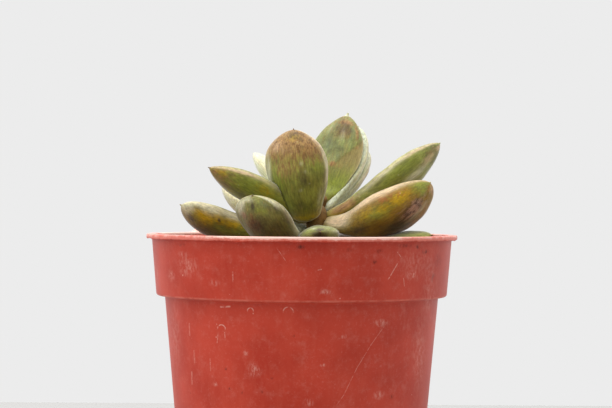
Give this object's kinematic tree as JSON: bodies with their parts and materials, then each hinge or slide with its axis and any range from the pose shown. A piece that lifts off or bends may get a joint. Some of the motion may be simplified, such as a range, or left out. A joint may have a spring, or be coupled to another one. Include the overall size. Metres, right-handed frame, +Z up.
{
  "type": "potted pachyphytum succulent",
  "caption": "Small stem succulent with thick, pointed, powdery leaves in a rosette, growing in a round plastic nursery pot filled with soil.",
  "frame": {"origin": "middle of the pot's foot, on the surface that it stands on", "axes": "+Z up along the pot's axis; -Y is the front, where the upright leaf and the small low leaf face"},
  "size_m": [0.09, 0.09, 0.1141],
  "materials": {
    "pot_plastic": "brick-red moulded plastic, slightly satin, scuffed",
    "soil": "dark crumbly potting mix",
    "stem": "fleshy olive stem, matt",
    "leaf": "olive-green fleshy skin with a pale powdery bloom and bronze tips"
  },
  "bodies": {
    "root": {"pot": "pot_plastic", "soil": "soil", "stem": "stem", "leaf_front_low": "leaf", "leaf_left_front": "leaf", "leaf_right_fat": "leaf", "leaf_right_low": "leaf", "leaf_left_low": "leaf", "leaf_front_upright": "leaf", "leaf_right_long": "leaf", "leaf_left_raised": "leaf", "leaf_back_tallest": "leaf", "leaf_back_left_raised": "leaf", "leaf_back_left_low": "leaf", "leaf_back_right_inner": "leaf", "leaf_back_right_outer": "leaf", "leaf_inner_left": "leaf", "leaf_back_raised": "leaf", "leaf_right_lowest": "leaf", "leaf_back_low_right": "leaf", "leaf_back_low_left": "leaf"}
  },
  "joints": []
}
